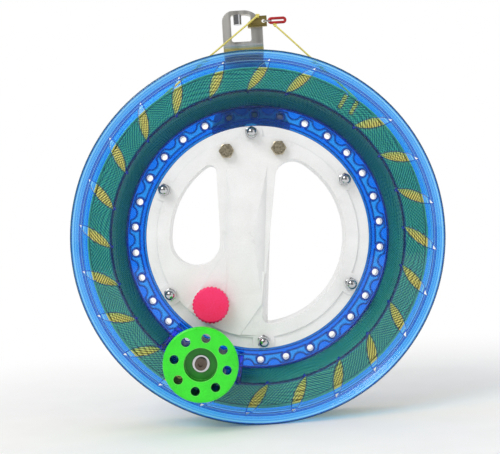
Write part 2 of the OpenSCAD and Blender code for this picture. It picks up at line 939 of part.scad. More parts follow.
// Outer ring of a bearing with its two shields
module bearing(i) {
    color("#7d8288")
        upright()
            rotate(bearing_angle(i - 1))
                translate([bearing_circle_r, 0, 0])
                    rotate_extrude()
                        polygon([
                            [inner_ring_d / 2 + fit, bearing_w / 2 - fit],
                            [bearing_od / 2, bearing_w / 2 - fit],
                            [bearing_od / 2, fit - bearing_w / 2],
                            [inner_ring_d / 2 + fit, fit - bearing_w / 2],
                            [inner_ring_d / 2 + fit, shield_t - bearing_w / 2],
                            [bearing_od / 2 - outer_ring_wall, shield_t - bearing_w / 2],
                            [bearing_od / 2 - outer_ring_wall, bearing_w / 2 - shield_t],
                            [inner_ring_d / 2 + fit, bearing_w / 2 - shield_t]
                        ]);
}

// Brake: a knob turns an eccentric that moves the shoe out to the rail
module brake_knob() {
    round = 1.2;
    color("#e04a8a")
        upright()
            at_brake(brake_z + slack)
                difference() {
                    rotate_extrude($fn = 96)
                        polygon([
                            [0, 0], [brake_d / 2 - round, 0], [brake_d / 2, round],
                            [brake_d / 2, brake_h - round], [brake_d / 2 - round, brake_h], [0, brake_h]
                        ]);
                    round_copies(brake_flutes, 0)
                        translate([brake_d / 2 + flute_r / 3, 0, -over])
                            cylinder(r = flute_r, h = brake_h + 2 * over, $fn = 24);
                    translate([0, 0, -over])
                        cylinder(d = spindle_d + 2 * fit, h = brake_h - brake_top_t + over);
                }
}

module brake_spindle() {
    color("silver")
        upright()
            at_brake(spindle_foot)
                cylinder(d = spindle_d, h = brake_z + slack + brake_h - brake_top_t - fit - spindle_foot);
}

module brake_cam() {
    color("goldenrod")
        upright()
            at_brake(-shoe_t / 2 + fit)
                difference() {
                    rotate(cam_angle - brake_angle)
                        translate([eccentric, 0, 0])
                            cylinder(d = cam_d, h = shoe_t - 2 * fit);
                    translate([0, 0, -over])
                        cylinder(d = spindle_d + fit, h = shoe_t + 2 * over);
                }
}

module brake_shoe() {
    slot_x = brake_r - eccentric * sin(45);
    color("dimgray")
        upright()
            rotate(brake_angle)
                translate([0, 0, -shoe_t / 2])
                    linear_extrude(shoe_t)
                        difference() {
                            intersection() {
                                translate([shoe_in_r, -shoe_w / 2])
                                    square([rail_r, shoe_w]);
                                circle(shoe_end_r, $fn = round_fn);
                            }
                            translate([slot_x, 0])
                                round_rect(
                                    cam_d + slack, cam_d + slack + 2 * eccentric, cam_d / 2 - over / 2);
                        }
}

module brake_pad() {
    color("#3a3a3a")
        upright()
            rotate(brake_angle)
                translate([0, 0, -shoe_t / 2])
                    linear_extrude(shoe_t)
                        intersection() {
                            difference() {
                                circle(shoe_end_r + pad_t, $fn = round_fn);
                                circle(shoe_end_r, $fn = round_fn);
                            }
                            translate([0, -shoe_w / 2])
                                square([rim_r, shoe_w]);
                        }
}

// Guide: one steel sheet, cut out and bent from the hub's back over the drum
head_left = -head_x - head_w / 2;
head_right = -head_x + head_w / 2;
// Top of the head, drawn in from its edge
module head_2d(inset) {
    foot = shelf_y - sheet_half;
    left = head_left + inset;
    right = head_right - inset;
    left_r = head_left_r - inset;
    right_r = head_right_r - inset;
    left_y = head_top - head_left_r;
    right_y = head_top - head_right_r;
    translate([left, foot])
        square([head_left_r - inset, left_y - foot]);
    translate([head_right - head_right_r, foot])
        square([head_right_r - inset, right_y - foot]);
    translate([head_left + head_left_r, foot])
        square([right - right_r - left - left_r, head_top - inset - foot]);
    translate([head_left + head_left_r, left_y])
        circle(left_r);
    translate([head_right - head_right_r, right_y])
        circle(right_r);
}

module guide_outline() {
    difference() {
        union() {
            polygon([
                [-foot_w / 2 + foot_corner, foot_y], [foot_w / 2 - foot_corner, foot_y],
                [foot_w / 2, foot_y + foot_corner], [foot_w / 2, joggle_start],
                [head_right, shelf_y - bend_r], [head_right, shelf_y],
                [head_left, shelf_y], [head_left, shelf_y - bend_r],
                [-foot_w / 2, joggle_start], [-foot_w / 2, foot_y + foot_corner]
            ]);
            head_2d(0);
        }
        translate([-window_x, window_y])
            round_rect(window_w, window_h, window_corner_r);
    }
}

// Rim round the top of the head, drawn back from the sheet
module head_rim() {
    translate([0, 0, head_z - sheet_half - head_rim])
        linear_extrude(head_rim + sheet_half)
            difference() {
                head_2d(0);
                head_2d(sheet_t);
                translate([head_left - over, 0])
                    square([head_w + 2 * over, window_y]);
            }
}

module guide_arm() {
    path = [
        [foot_y, foot_z], [joggle_start, foot_z], [joggle_end, arm_z], [shelf_y, arm_z],
        [shelf_y, head_z], [head_top, head_z]
    ];
    color("#8c9094")
        upright()
            difference() {
                union() {
                    intersection() {
                        rotate([90, 0, 90])
                            linear_extrude(2 * foot_w, center = true)
                                bent_sheet(path, sheet_t, bend_r);
                        translate([0, 0, arm_z - over - sheet_t])
                            linear_extrude(half_w - arm_z)
                                guide_outline();
                    }
                    head_rim();
                }
                at_guide_bolts(foot_z - over)
                    cylinder(d = guide_bolt_d + 2 * fit, h = 2 * over + sheet_t);
                translate([0, bearing_circle_r, foot_z - over - sheet_t])
                    cylinder(r = head_r + over, h = 2 * over + 2 * sheet_t);
            }
}

module guide_bolts() {
    color("silver")
        upright()
            at_guide_bolts(-hub_half - sheet_t) {
                translate([0, 0, -guide_head_t])
                    difference() {
                        cylinder(r = guide_head_r, h = guide_head_t);
                        translate([0, 0, -over])
                            linear_extrude(over + guide_head_t / 2)
                                hexagon(3);
                    }
                cylinder(d = guide_bolt_d, h = hub_t + sheet_t + guide_nut_h + over);
            }
}

module guide_nuts() {
    color("silver")
        upright()
            at_guide_bolts(hub_half)
                difference() {
                    nut_blank(guide_nut_af, guide_nut_h);
                    translate([0, 0, -over])
                        cylinder(d = guide_bolt_d + 2 * fit, h = guide_nut_h + 2 * over);
                }
}

module guide_post() {
    color("gainsboro")
        upright()
            translate([-window_x - window_w / 2 + post_d / 2 + post_inset, window_y + window_h / 2, head_z])
                rotate([90, 0, 0])
                    cylinder(d = post_d, h = post_l);
}

// Clip on the end of the line: a flat hook on the guide's head, a ring and a loop
module clip_hook() {
    path = [
        [hook_x + hook_back_l, hook_back], [hook_x, hook_back], [hook_x, hook_front], [hook_end, hook_front]
    ];
    color("#8a7a35")
        upright()
            difference() {
                translate([0, hook_y, 0])
                    rotate([90, 0, 0])
                        linear_extrude(hook_h, center = true)
                            bent_sheet(path, hook_t, hook_t);
                translate([eye_x, hook_y, hook_front - hook_t])
                    cylinder(d = eye_d, h = 2 * hook_t);
                translate([0, hook_y, hook_back - over])
                    linear_extrude(half_w)
                        polygon([
                            [hook_x - hook_t, -hook_h / 2 + hook_nose], [hook_x - hook_t, hook_h],
                            [hook_slant_end + hook_h / 2, hook_h], [hook_slant_end, hook_h / 2]
                        ]);
                translate([hook_x - hook_t, hook_y + hook_back_top, hook_back - over])
                    cube([hook_l, hook_h, head_z - sheet_half - hook_back + over]);
            }
}

module clip_ring() {
    color("silver")
        upright()
            translate([eye_x + ring_r, hook_y, hook_front])
                rotate([90 + ring_tilt, 0, 0])
                    rotate_extrude()
                        translate([ring_r, 0])
                            circle(d = ring_wire, $fn = 24);
}

module clip_loop() {
    color("#c8323c")
        upright()
            translate([eye_x + 2 * ring_r, hook_y, hook_front])
                for (end = [0, 1])
                    translate([end * loop_l, 0, 0])
                        rotate(end * 180) {
                            rotate(90)
                                rotate_extrude(angle = 180)
                                    translate([loop_bend_r, 0])
                                        circle(d = loop_wire, $fn = 24);
                            translate([0, loop_bend_r, 0])
                                rotate([0, 90, 0])
                                    cylinder(d = loop_wire, h = loop_l, $fn = 24);
                        }
}

module free_line(route) {
    color("#e6de6a")
        upright()
            swept_tube(
                [for (i = [0 : len(route) - 1])
                    ring_at(route[i], along(route, i), [0, 0, 1], line_r, free_sides)],
                free_sides);
}

module line_left() { free_line(left_route); }
module line_right() { free_line(right_route); }

drum_front();
drum_rear();
line_core();
line_turns();
knob_sleeve();
knob_screw();
knob_washer();
knob_insert();
winding_knob();
hub_front();
hub_rear();
hub_bolts();
dome_nuts();
bearing_inner_rings();
bearing(1);  // bearing_1
bearing(2);  // bearing_2
bearing(3);  // bearing_3
bearing(4);  // bearing_4
bearing(5);  // bearing_5
bearing(6);  // bearing_6
brake_knob();
brake_spindle();
brake_cam();
brake_shoe();
brake_pad();
guide_arm();
guide_bolts();
guide_nuts();
guide_post();
clip_hook();
clip_ring();
clip_loop();
line_left();
line_right();
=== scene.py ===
"""Looks of a hand-held kite reel: a clear blue drum of yellow line turning on a white hub.

Metres, in the CAD frame: the reel's axis is Y, its front faces -Y and up is +Z.
Sizes that are repeated from the CAD source are written in millimetres.
"""

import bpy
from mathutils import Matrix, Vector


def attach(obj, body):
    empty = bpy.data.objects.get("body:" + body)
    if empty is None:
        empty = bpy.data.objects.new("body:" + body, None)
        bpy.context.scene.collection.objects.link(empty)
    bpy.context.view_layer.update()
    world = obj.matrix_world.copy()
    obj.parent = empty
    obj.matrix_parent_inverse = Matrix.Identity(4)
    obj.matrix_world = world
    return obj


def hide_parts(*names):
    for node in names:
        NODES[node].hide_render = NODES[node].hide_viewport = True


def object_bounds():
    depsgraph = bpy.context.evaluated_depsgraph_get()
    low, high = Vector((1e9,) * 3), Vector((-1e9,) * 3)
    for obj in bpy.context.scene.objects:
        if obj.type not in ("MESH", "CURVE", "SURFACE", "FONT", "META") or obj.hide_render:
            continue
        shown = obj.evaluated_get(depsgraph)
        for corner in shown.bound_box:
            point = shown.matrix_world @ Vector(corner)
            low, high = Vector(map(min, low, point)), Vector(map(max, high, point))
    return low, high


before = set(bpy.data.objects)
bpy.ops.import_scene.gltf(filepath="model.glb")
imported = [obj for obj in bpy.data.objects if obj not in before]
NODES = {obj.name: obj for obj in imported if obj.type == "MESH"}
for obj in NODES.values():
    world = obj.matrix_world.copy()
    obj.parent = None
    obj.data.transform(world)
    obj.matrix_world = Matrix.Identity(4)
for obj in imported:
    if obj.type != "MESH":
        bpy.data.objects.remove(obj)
cad_box = [list(corner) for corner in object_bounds()]

import math

import bpy
import numpy as np

MM = 0.001
SCENE = bpy.context.scene


# Camera

# The photograph: its size, the reel's centre in it and the scale at the front rim.
PHOTO_W, PHOTO_H = 500, 454
CENTRE_PX = (257.8, 237.2)
MM_PER_PX = 0.585
RIM_PLANE_Y = -23 * MM
CAMERA_DISTANCE = 650 * MM
CAMERA_ROLL = math.radians(3.4)
SENSOR_W = 36.0


def aim_camera():
    """Looks along +Y, rolled so that the upright reel leans to the left as it does in the photograph.

    The picture's middle lies off the reel's axis by the photographed offset at the front rim.
    """
    data = bpy.data.cameras.new("photo_camera")
    data.sensor_fit = "HORIZONTAL"
    data.sensor_width = SENSOR_W
    data.lens = SENSOR_W * CAMERA_DISTANCE / (PHOTO_W * MM_PER_PX * MM)
    camera = bpy.data.objects.new("photo_camera", data)
    SCENE.collection.objects.link(camera)
    across = (PHOTO_W / 2 - CENTRE_PX[0]) * MM_PER_PX * MM
    above = (CENTRE_PX[1] - PHOTO_H / 2) * MM_PER_PX * MM
    cos_roll, sin_roll = math.cos(CAMERA_ROLL), math.sin(CAMERA_ROLL)
    camera.location = (
        across * cos_roll + above * sin_roll,
        RIM_PLANE_Y - CAMERA_DISTANCE,
        above * cos_roll - across * sin_roll,
    )
    camera.rotation_euler = (math.pi / 2, CAMERA_ROLL, 0)
    SCENE.camera = camera


aim_camera()
SCENE.view_settings.view_transform = "Standard"


# Meshes

def new_piece(name, points, faces, corner_uv=()):
    """A mesh object at the origin, shaded smooth. Faces past the last given corner have UV (0, 0)."""
    mesh = bpy.data.meshes.new(name)
    mesh.from_pydata(points.reshape(-1, 3), [], faces)
    mesh.polygons.foreach_set("use_smooth", np.ones(len(mesh.polygons), bool))
    if len(corner_uv):
        uv = np.zeros((len(mesh.loops), 2), np.float32)
        uv[:len(corner_uv)] = corner_uv
        mesh.uv_layers.new(name="metres").uv.foreach_set("vector", uv.ravel())
    piece = bpy.data.objects.new(name, mesh)
    SCENE.collection.objects.link(piece)
    return piece


def grid_faces(rows, columns, close_rows=False, close_columns=False):
    """Quads of a grid of rows x columns points, joined end to start where it closes."""
    i, j = np.meshgrid(
        np.arange(rows if close_rows else rows - 1),
        np.arange(columns if close_columns else columns - 1),
        indexing="ij",
    )
    i2, j2 = (i + 1) % rows, (j + 1) % columns
    quads = np.stack([i * columns + j, i * columns + j2, i2 * columns + j2, i2 * columns + j], -1)
    return quads.reshape(-1, 4).tolist()


def grid_uv(u, v):
    """UV of each corner of a grid's quads: u at the columns' edges, v at the rows' edges."""
    i, j = np.meshgrid(np.arange(len(v) - 1), np.arange(len(u) - 1), indexing="ij")
    across = np.stack([u[j], u[j + 1], u[j + 1], u[j]], -1)
    along = np.stack([v[i], v[i], v[i + 1], v[i + 1]], -1)
    return np.stack([across, along], -1).reshape(-1, 2)


def unit(vectors):
    """The vectors at length 1."""
    return vectors / np.linalg.norm(vectors, axis=-1, keepdims=True)


# Points worked out on a curve for each point of it that is kept.
CURVE_STEPS = 8


def smooth_path(points, count):
    """A Catmull-Rom curve through the points, resampled to count points evenly along its length."""
    p = np.concatenate([[2 * points[0] - points[1]], points, [2 * points[-1] - points[-2]]])
    t = np.linspace(0, len(points) - 1, count * CURVE_STEPS)
    k = np.minimum(t.astype(int), len(points) - 2)
    f = (t - k)[:, None]
    a, b, c, d = p[k], p[k + 1], p[k + 2], p[k + 3]
    curve = 0.5 * (2 * b + (c - a) * f + (2 * a - 5 * b + 4 * c - d) * f**2
                   + (3 * b - a - 3 * c + d) * f**3)
    run = np.concatenate([[0], np.cumsum(np.linalg.norm(np.diff(curve, axis=0), axis=1))])
    even = np.linspace(0, run[-1], count)
    return np.stack([np.interp(even, run, curve[:, axis]) for axis in range(3)], -1)


def tube(name, path, radius, sides, out, closed=False):
    """A round profile carried along a path: P(u, v) = path(u) + radius (N cos v + B sin v).

    N is the direction out, made square to the path, and B = T x N with T along the path.
    The UV map has metres round the tube in U and metres along it in V. An open tube has flat ends.
    """
    if closed:
        along = unit(np.roll(path, -1, 0) - np.roll(path, 1, 0))
        edges = np.concatenate([path, path[:1]])
    else:
        along = unit(np.gradient(path, axis=0))
        edges = path
    out = np.broadcast_to(out, path.shape)
    normal = unit(out - (out * along).sum(-1, keepdims=True) * along)
    side = np.cross(along, normal)
    angle = np.linspace(0, 2 * np.pi, sides + 1)
    ring = np.cos(angle[:-1, None]) * normal[:, None] + np.sin(angle[:-1, None]) * side[:, None]
    points = path[:, None] + radius * ring
    run = np.concatenate([[0], np.cumsum(np.linalg.norm(np.diff(edges, axis=0), axis=1))])
    faces = grid_faces(len(path), sides, close_rows=closed, close_columns=True)
    if not closed:
        first = np.arange(sides)
        faces += [first[::-1].tolist(), (first + (len(path) - 1) * sides).tolist()]
    return new_piece(name, points, faces, grid_uv(angle * radius, run))


# Line

LINE_D = 1.1
LINE_SIDES = 10
ROUTE_POINTS = 90
TO_FRONT = np.array([0.0, -1.0, 0.0])
# Routes of the two free stretches, from the clip to the winding, as in the CAD source: right, up, forward.
LEFT_ROUTE = [
    [8, 134, -1.2], [4, 130.9, -0.9], [0, 127.8, -0.6], [-5, 124, -0.2], [-10, 120.1, 0.2],
    [-15, 116.3, 0.6], [-20, 112.5, 1], [-25, 108.7, 1.3], [-30, 104.8, 1.6], [-35, 101, 1.9],
    [-40, 97.2, 2.2], [-45, 93.4, 2.4], [-50, 89.5, 2.6], [-55, 85.7, 2.8], [-60, 81.8, 3],
    [-65, 77.9, 3.1], [-70, 73.6, 3.2], [-74.5, 69, 3.3], [-78.8, 64.1, 3.4],
]
RIGHT_ROUTE = [
    [18.2, 128.2, -2.9], [18.9, 127.2, -2.8], [20.6, 125.4, -2.6], [24, 121.9, -2.2],
    [28, 117.8, -1.8], [32, 113.6, -1.4], [36, 109.4, -1], [40, 105.2, -0.6], [44, 101, -0.2],
    [48, 96.8, 0.2], [52, 92.6, 0.6], [56, 88.4, 1], [60, 84.2, 1.4], [64, 80, 1.8],
    [68, 75.8, 2.2], [72, 71.6, 2.6], [76, 67.3, 3], [79.7, 62.9, 3.4], [83.1, 58.3, 3.8],
]


def to_frame(points):
    """Right, up and forward in millimetres to the CAD frame in metres."""
    right, up, forward = np.asarray(points, float).T
    return np.stack([right, -forward, up], -1) * MM


def free_line(name, node, route):
    """A stretch of line from the winding to the clip, as a tube along its CAD route."""
    path = smooth_path(to_frame(route)[::-1], ROUTE_POINTS)
    piece = tube(name, path, LINE_D / 2 * MM, LINE_SIDES, TO_FRONT)
    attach(piece, "handle")
    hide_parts(node)
    return piece


def on_drum(angle, radius, forward):
    """Angle from the right, radius and forward in millimetres to the CAD frame in metres."""
    return np.stack([radius * np.cos(angle), -forward + 0 * angle, radius * np.sin(angle)], -1) * MM


# Wound line, as in the CAD source: half its section as radius and forward, and its outer turns.
SECTION = [[79.8, 1.24], [87.53, 17.8], [98.9, 17.8]]
TURN_R = 99.95
TURN_COUNT = 30
TURN_PITCH = 1.15
COIL_SIDES = 8
COIL_POINTS_PER_TURN = 120
# Strands on the ring of inner layers, and how they wander: size in strands, waves round the ring, reach.
STRAND_PITCH = 1.3
STRAND_DEPTH = 0.36
WANDERS = [(1.8, 6, 5), (0.3, 17, -3)]
# Points of that ring: on each side of its section, from the inner front corner on, and round the axis.
SECTION_POINTS = [56, 56, 6, 56, 56, 4]
RING_POINTS = 420
# The last turn: how far it sweeps forward, and the power with which its ends drop to the free stretches.
LAST_TURN_SWEEP = 9
LAST_TURN_DROP = 40
LAST_TURN_POINTS = 241
KNOT_LINE_R = 0.4
KNOT_POINTS = 90


def outward(path):
    """The direction away from the reel's axis at each point of a path."""
    return unit(path * [1, 0, 1])


def wound_body():
    """The inner layers as one ring with strands on it: P(a, s) turned by the angle a round the axis.

    Its section is section(s) + STRAND_DEPTH h n(s), with n outward and h = sqrt(1 - x^2) - 1, where
    x runs from -1 to 1 over each strand: x = 2 frac(s / STRAND_PITCH + a / 2 pi + wander) - 1, and
    wander adds up size sin(waves a + s / reach) over WANDERS. One strand winds inwards over each side.
    The attribute "low" is 1 between two strands and 0 on top of one, and the line's finish paints shade by
    it.
    """
    front = np.array(SECTION)
    corners = np.concatenate([front, front[::-1] * [1, -1]])
    stretches = zip(corners, np.roll(corners, -1, 0), SECTION_POINTS)
    outline = np.concatenate([np.linspace(a, b, n, endpoint=False) for a, b, n in stretches])
    ahead, behind = np.roll(outline, -1, 0), np.roll(outline, 1, 0)
    normal = unit((ahead - behind) @ np.array([[0.0, 1.0], [-1.0, 0.0]]))
    run = np.concatenate([[0], np.cumsum(np.linalg.norm(ahead - outline, axis=1))])
    angle = np.linspace(0, 2 * np.pi, RING_POINTS + 1)
    a, s = angle[:-1, None], run[None, :-1]
    wander = sum(size * np.sin(waves * a + s / reach) for size, waves, reach in WANDERS)
    x = 2 * ((s / STRAND_PITCH + a / (2 * np.pi) + wander) % 1) - 1
    height = STRAND_DEPTH * (np.sqrt(1 - x**2) - 1)
    radius = outline[:, 0] + height * normal[:, 0]
    forward = outline[:, 1] + height * normal[:, 1]
    points = on_drum(np.broadcast_to(a, radius.shape), radius, forward)
    faces = grid_faces(RING_POINTS, len(outline), close_rows=True, close_columns=True)
    piece = new_piece("wound_body", points, faces, grid_uv(run * MM, angle * front[1, 0] * MM))
    # Painted shade between strands: "low" darkens the line's colour there.
    low = piece.data.attributes.new("low", "FLOAT", "POINT")
    low.data.foreach_set("value", (-height / STRAND_DEPTH).ravel().astype(np.float32))
    return piece


def wound_turns():
    """The outer layer as one coil: radius TURN_R and forward = TURN_PITCH (turn - TURN_COUNT / 2)."""
    turn = np.linspace(0, TURN_COUNT, TURN_COUNT * COIL_POINTS_PER_TURN + 1)
    path = on_drum(2 * np.pi * turn, TURN_R, TURN_PITCH * (turn - TURN_COUNT / 2))
    return tube("wound_turns", path, LINE_D / 2 * MM, COIL_SIDES, outward(path))


def last_turn():
    """The turn that the two free stretches lie along, from the left one's end round to the right one's.

    It crosses the outer layer: forward = start + (end - start) u + LAST_TURN_SWEEP sin(pi u), so that
    away from its ends it stays clear of the free stretches when the drum turns.
    """
    left, right = np.array(LEFT_ROUTE[-1]), np.array(RIGHT_ROUTE[-1])
    u = np.linspace(0, 1, LAST_TURN_POINTS)
    start = math.atan2(left[1], left[0])
    angle = start + (math.atan2(right[1], right[0]) + 2 * np.pi - start) * u
    radius = TURN_R + LINE_D + 0 * u
    radius += (math.hypot(left[0], left[1]) - radius) * (1 - u) ** LAST_TURN_DROP
    radius += (math.hypot(right[0], right[1]) - radius) * u**LAST_TURN_DROP
    forward = left[2] + (right[2] - left[2]) * u + LAST_TURN_SWEEP * np.sin(np.pi * u)
    path = on_drum(angle, radius, forward)
    return tube("last_turn", path, LINE_D / 2 * MM, LINE_SIDES, outward(path))


def knot(name, centre):
    """An overhand knot, drawn as a closed trefoil: (sin t + 2 sin 2t, -sin 3t, cos t - 2 cos 2t) / 3 mm."""
    t = np.linspace(0, 2 * np.pi, KNOT_POINTS, endpoint=False)
    trefoil = np.stack([np.sin(t) + 2 * np.sin(2 * t), -np.sin(3 * t), np.cos(t) - 2 * np.cos(2 * t)], -1)
    path = to_frame([centre]) + trefoil / 3 * MM
    never_along = np.array([0.1, 0.2, 1.0])
    return tube(name, path, KNOT_LINE_R * MM, LINE_SIDES, never_along, closed=True)


wound = [wound_body(), wound_turns(), last_turn()]
for piece, node in zip(wound, ("line_core", "line_turns", "line_turns")):
    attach(piece, "drum")
    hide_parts(node)
knots = [knot("left_knot", LEFT_ROUTE[0]), knot("right_knot", RIGHT_ROUTE[0])]
for piece in knots:
    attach(piece, "handle")
free_lines = [
    free_line("left_line", "line_left", LEFT_ROUTE),
    free_line("right_line", "line_right", RIGHT_ROUTE),
]


# Finishes

def linear(hex_colour):
    """An sRGB hex colour as linear red, green, blue and alpha."""
    srgb = np.array([int(hex_colour[i:i + 2], 16) for i in (1, 3, 5)]) / 255
    low, high = srgb / 12.92, ((srgb + 0.055) / 1.055) ** 2.4
    return (*np.where(srgb <= 0.04045, low, high).tolist(), 1.0)


def per(size_mm):
    """A texture's scale for a pattern of that size, on coordinates in metres."""
    return 1 / (size_mm * MM)


def add(tree, kind, inputs=(), **settings):
    """Adds one node. Inputs pairs a socket's name or number with a value or with another node's output."""
    node = tree.nodes.new(kind)
    for name, value in settings.items():
        setattr(node, name, value)
    for socket, value in dict(inputs).items():
        if isinstance(value, bpy.types.NodeSocket):
            tree.links.new(value, node.inputs[socket])
        else:
            node.inputs[socket].default_value = value
    return node


def new_finish(name):
    """An empty node material: its tree, its output and its object coordinates."""
    material = bpy.data.materials.new(name)
    material.use_nodes = True
    tree = material.node_tree
    tree.nodes.clear()
    output = add(tree, "ShaderNodeOutputMaterial")
    coordinates = add(tree, "ShaderNodeTexCoord").outputs["Object"]
    return material, tree, output, coordinates


# Clear drum, as in the CAD source: half the space inside its web, and the web's outer radius.
WEB_IN = 3.1
WEB_R = 78.7
FACE_TOLERANCE = 0.1
# Marks on its lip: the radii where they fade in, the width of a flow ring, and two creases painted as navy
# shade lines.
LIP_FROM, LIP_TO = 101, 105
FLOW_RING_W = 1.1
SHADED_LIP_CREASES = (103.7, 104.9)
CREASE_HALF_W = 0.3
# Share of light that its haze scatters, where it is clean and on a paler ring of the lip, which is partly
# scuff and partly painted highlight.
HAZE_CLEAN, HAZE_SCUFF_AND_HIGHLIGHT = 0.03, 0.4
# Roughness of its glossy faces and of its matt ones.
CLEAR_GLOSSY, CLEAR_MATT = 0.03, 0.25


def clear_blue_polycarbonate():
    """Clear blue polycarbonate, injection moulded: glossy, deepest where a wall is seen along its length.

    The flow of the moulding leaves fine rings on the flared lip, and two creases where the lip begins,
    painted as navy shade lines.
    The web's inner faces are matt and deepen its blue, and edges are painted navy as shade, where light
    runs out along them.
    A thin haze lies on it, with paler rings on the lip that are partly scuffs and partly painted highlight.
    Lamps shine through, so that the line inside is lit.
    """
    material, tree, output, place = new_finish("clear_blue_polycarbonate_moulded")
    flat = add(tree, "ShaderNodeVectorMath", {0: place, 1: (1.0, 0.0, 1.0)}, operation="MULTIPLY")
    radius = add(tree, "ShaderNodeVectorMath", {0: flat.outputs["Vector"]}, operation="LENGTH")
    radius = radius.outputs["Value"]

    # Flow rings, some deeper in colour, and paler rings that are partly scuffs and partly painted
    # highlight.
    rings = add(tree, "ShaderNodeTexNoise",
                {"W": radius, "Scale": per(FLOW_RING_W), "Detail": 3.0}, noise_dimensions="1D")
    on_lip = add(tree, "ShaderNodeMapRange", {
        "Value": radius, "From Min": LIP_FROM * MM, "From Max": LIP_TO * MM},
        interpolation_type="SMOOTHSTEP")
    streak = add(tree, "ShaderNodeMapRange", {
        "Value": rings.outputs["Fac"], "From Min": 0.35, "From Max": 0.62, "To Min": 1.0, "To Max": 0.0})
    streak = add(tree, "ShaderNodeMath", {
        0: streak.outputs["Result"], 1: on_lip.outputs["Result"]}, operation="MULTIPLY")
    # Paler rings on the lip: partly scuffs, partly painted highlight.
    scuff_and_highlight = add(tree, "ShaderNodeMapRange", {
        "Value": rings.outputs["Fac"], "From Min": 0.5, "From Max": 0.62})
    scuff_and_highlight = add(tree, "ShaderNodeMath", {
        0: scuff_and_highlight.outputs["Result"], 1: on_lip.outputs["Result"]}, operation="MULTIPLY")
    colour = add(tree, "ShaderNodeMix", {
        0: streak.outputs["Value"], 6: linear("#f8fbff"), 7: linear("#4a9aee")}, data_type="RGBA")

    # Painted navy shade lines at the creases, matt faces inside the web, and painted navy shade at the
    # edges.
    for crease_r in SHADED_LIP_CREASES:
        crease_shade = add(tree, "ShaderNodeMath", {
            0: radius, 1: crease_r * MM, 2: CREASE_HALF_W * MM}, operation="COMPARE")
        colour = add(tree, "ShaderNodeMix", {
            0: crease_shade.outputs["Value"], 6: colour.outputs[2], 7: linear("#0a30a0")}, data_type="RGBA")
    along_axis = add(tree, "ShaderNodeSeparateXYZ", {"Vector": place})
    depth = add(tree, "ShaderNodeMath", {0: along_axis.outputs["Y"]}, operation="ABSOLUTE")
    inside = add(tree, "ShaderNodeMath", {
        0: depth.outputs["Value"], 1: WEB_IN * MM, 2: FACE_TOLERANCE * MM}, operation="COMPARE")
    on_web = add(tree, "ShaderNodeMath", {0: radius, 1: WEB_R * MM}, operation="LESS_THAN")
    matt = add(tree, "ShaderNodeMath", {
        0: inside.outputs["Value"], 1: on_web.outputs["Value"]}, operation="MULTIPLY")
    colour = add(tree, "ShaderNodeMix", {
        0: matt.outputs["Value"], 6: colour.outputs[2], 7: linear("#a8d4fc")}, data_type="RGBA")
    # Edges painted navy, as shade.
    edge = add(tree, "ShaderNodeBevel", {"Radius": 1.2 * MM}, samples=6)
    colour = add(tree, "ShaderNodeMix", {
        0: edge_mask(tree, edge, 0.95), 6: colour.outputs[2], 7: linear("#0a2aa0")}, data_type="RGBA")

    # Clear body under a haze.
    flow = add(tree, "ShaderNodeTexNoise", {"Vector": place, "Scale": per(9), "Detail": 2.0})
    wave = add(tree, "ShaderNodeMath", {
        0: flow.outputs["Fac"], 1: streak.outputs["Value"]}, operation="ADD")
    ripple = add(tree, "ShaderNodeBump", {
        "Height": wave.outputs["Value"], "Strength": 0.25, "Distance": 0.1 * MM,
        "Normal": edge.outputs["Normal"],
    })
    polish = add(tree, "ShaderNodeMapRange", {
        "Value": matt.outputs["Value"], "To Min": CLEAR_GLOSSY, "To Max": CLEAR_MATT})
    shell = add(tree, "ShaderNodeBsdfPrincipled", {
        "Base Color": colour.outputs[2], "Roughness": polish.outputs["Result"], "IOR": 1.45,
        "Transmission Weight": 1.0, "Normal": ripple.outputs["Normal"],
    })
    # The haze is stronger on the paler rings, which is partly scuffing and partly painted highlight.
    haze = add(tree, "ShaderNodeMapRange", {
        "Value": scuff_and_highlight.outputs["Value"], "To Min": HAZE_CLEAN, "To Max": HAZE_SCUFF_AND_HIGHLIGHT})
    film = add(tree, "ShaderNodeBsdfDiffuse", {"Color": linear("#a8e8ff")})
    hazed = add(tree, "ShaderNodeMixShader", {
        0: haze.outputs["Result"], 1: shell.outputs["BSDF"], 2: film.outputs["BSDF"]})
    rays = add(tree, "ShaderNodeLightPath")
    clear = add(tree, "ShaderNodeBsdfTransparent")
    mixed = add(tree, "ShaderNodeMixShader", {
        0: rays.outputs["Is Shadow Ray"], 1: hazed.outputs["Shader"], 2: clear.outputs["BSDF"]})
    tint = add(tree, "ShaderNodeVolumeAbsorption", {"Color": linear("#28e3fd"), "Density": 640.0})
    tree.links.new(mixed.outputs["Shader"], output.inputs["Surface"])
    tree.links.new(tint.outputs["Volume"], output.inputs["Volume"])
    return material


# Cosine of the turn from which a bevelled normal counts as an edge.
EDGE_STARTS = 0.99


def edge_mask(tree, edge, turned=0.85):
    """1 where the bevel node turns the face's normal to that cosine or further, 0 away from edges."""
    face = add(tree, "ShaderNodeNewGeometry").outputs["Normal"]
    turn = add(tree, "ShaderNodeVectorMath", {0: edge.outputs["Normal"], 1: face}, operation="DOT_PRODUCT")
    mask = add(tree, "ShaderNodeMapRange", {
        "Value": turn.outputs["Value"], "From Min": EDGE_STARTS, "From Max": turned})
    return mask.outputs["Result"]


MOTTLE_SIZE = 14
HOLLOW_REACH = 9


